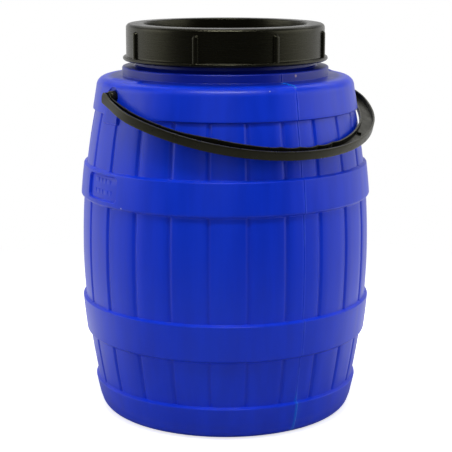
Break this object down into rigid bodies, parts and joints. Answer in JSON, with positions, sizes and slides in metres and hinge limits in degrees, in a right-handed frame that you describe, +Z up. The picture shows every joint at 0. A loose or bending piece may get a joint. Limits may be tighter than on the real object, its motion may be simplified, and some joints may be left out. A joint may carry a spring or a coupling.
{
  "type": "plastic open head drum",
  "caption": "Barrel-shaped plastic drum with a wide screw lid and a swinging carrying handle, for storing and moving liquids and loose goods.",
  "frame": {"origin": "centre of the drum's standing plane, on the barrel's own axis", "axes": "+Z up along the barrel; the handle's two pivots are on the X axis direction; the resting handle hangs towards -Y; the mould's parting line runs up the side at +Y and -Y"},
  "size_m": [0.3343, 0.3381, 0.447],
  "materials": {
    "blue_body": "satin",
    "seal": "matte",
    "black_lid": "semi-gloss",
    "black_handle": "satin"
  },
  "bodies": {
    "barrel": {"barrel_body": "blue_body"},
    "seal": {"lid_gasket": "seal"},
    "lid": {"screw_lid": "black_lid"},
    "handle": {"bail_handle": "black_handle"}
  },
  "joints": [
    {"name": "handle_swing", "type": "hinge", "parent": "barrel", "child": "handle", "pos_m": [0, 0, 0.3715], "axis": [-1, 0, 0], "range_deg": [0, 215.4]},
    {"name": "lid_rise", "type": "slide", "parent": "barrel", "child": "seal", "axis": [0, 0, 1], "range_m": [0, 0.0141]},
    {"name": "lid_turn", "type": "hinge", "parent": "seal", "child": "lid", "pos_m": [0, 0, 0.44], "axis": [0, 0, 1], "range_deg": [0, 630]}
  ],
  "couplings": [
    {"joint": "lid_rise", "follows": "lid_turn", "m_per_rad": 0.0012732}
  ]
}
